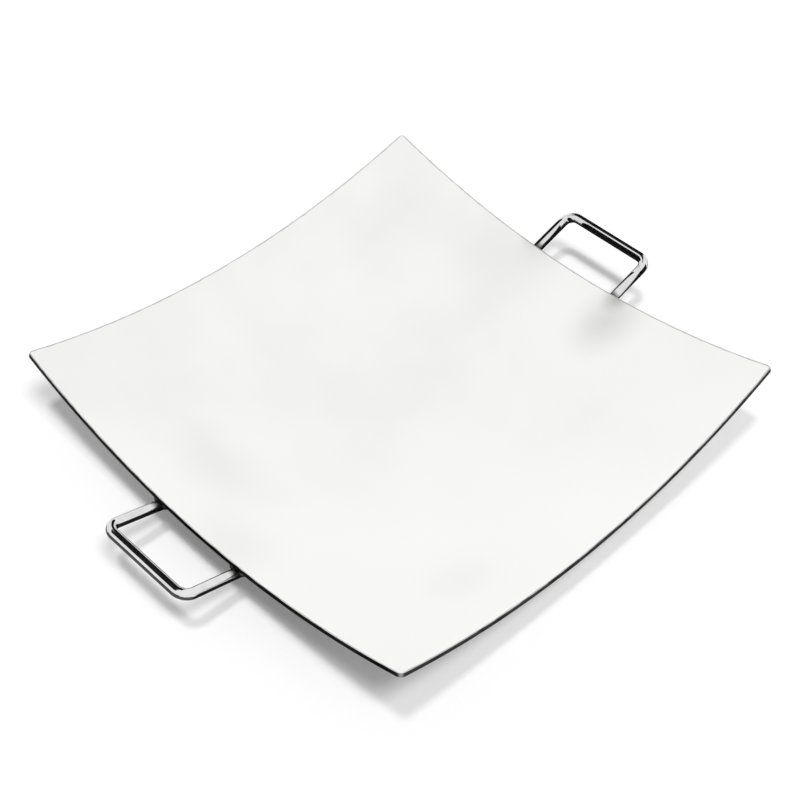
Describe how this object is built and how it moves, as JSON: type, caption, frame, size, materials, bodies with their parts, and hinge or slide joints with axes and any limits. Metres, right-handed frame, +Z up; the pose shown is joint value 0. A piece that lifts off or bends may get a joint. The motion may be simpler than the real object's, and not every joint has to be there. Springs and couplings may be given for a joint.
{
  "type": "camp griddle plate",
  "caption": "Square steel griddle plate pressed into a shallow round dish that rests on its belly, with bent rod loop handles welded under two opposite edges.",
  "frame": {"origin": "the lowest point of the plate's belly, under the middle of the dish", "axes": "+Z up out of the dish, +X towards the right handle, +Y towards the rear edge without a handle"},
  "size_m": [0.4902, 0.3942, 0.0684],
  "materials": {
    "sheet": "satin, fine even grain",
    "rod": "polished",
    "weld": "as welded, rippled"
  },
  "bodies": {
    "root": {"plate": "sheet", "left_handle": "rod", "right_handle": "rod", "left_front_outer_weld": "weld", "left_front_inner_weld": "weld", "left_rear_inner_weld": "weld", "left_rear_outer_weld": "weld", "right_front_outer_weld": "weld", "right_front_inner_weld": "weld", "right_rear_inner_weld": "weld", "right_rear_outer_weld": "weld"}
  },
  "joints": []
}
